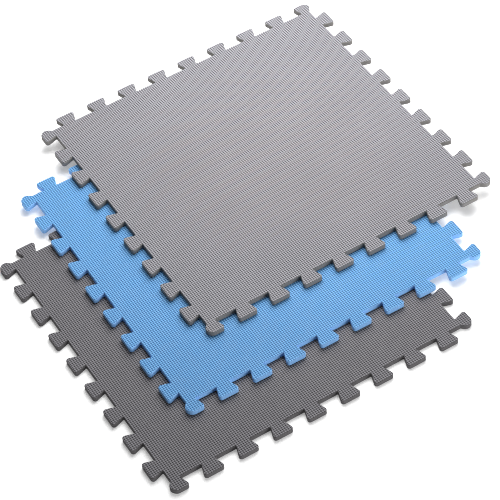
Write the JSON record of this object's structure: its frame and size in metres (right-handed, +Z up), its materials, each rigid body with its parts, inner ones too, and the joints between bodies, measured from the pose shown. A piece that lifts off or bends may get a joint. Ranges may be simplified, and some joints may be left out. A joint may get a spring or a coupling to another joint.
{
  "type": "blocking mats",
  "caption": "Square foam blocking mats with dovetail tabs round all sides and a fine woven relief on the work face, lying on each other in a fanned stack.",
  "frame": {"origin": "centre of the bottom mat's underside, where it rests on the floor or table", "axes": "+Z up through the stack; +X and +Y along the bottom mat's sides, towards the two sides that the upper mats are shifted to"},
  "size_m": [0.8345, 0.8609, 0.0306],
  "materials": {
    "dark_grey_foam": "matte closed-cell foam, woven relief on top, smooth underneath",
    "blue_foam": "matte closed-cell foam, woven relief on top, smooth underneath",
    "light_grey_foam": "matte closed-cell foam, woven relief on top, smooth underneath"
  },
  "bodies": {
    "bottom": {"bottom_mat": "dark_grey_foam"},
    "middle": {"middle_mat": "blue_foam"},
    "top": {"top_mat": "light_grey_foam"}
  },
  "joints": [
    {"name": "middle_mat_lift", "type": "slide", "parent": "bottom", "child": "middle", "axis": [0, 0, 1], "range_m": [0, 0.25]},
    {"name": "top_mat_lift", "type": "slide", "parent": "middle", "child": "top", "axis": [0, 0, 1], "range_m": [0, 0.25]}
  ]
}
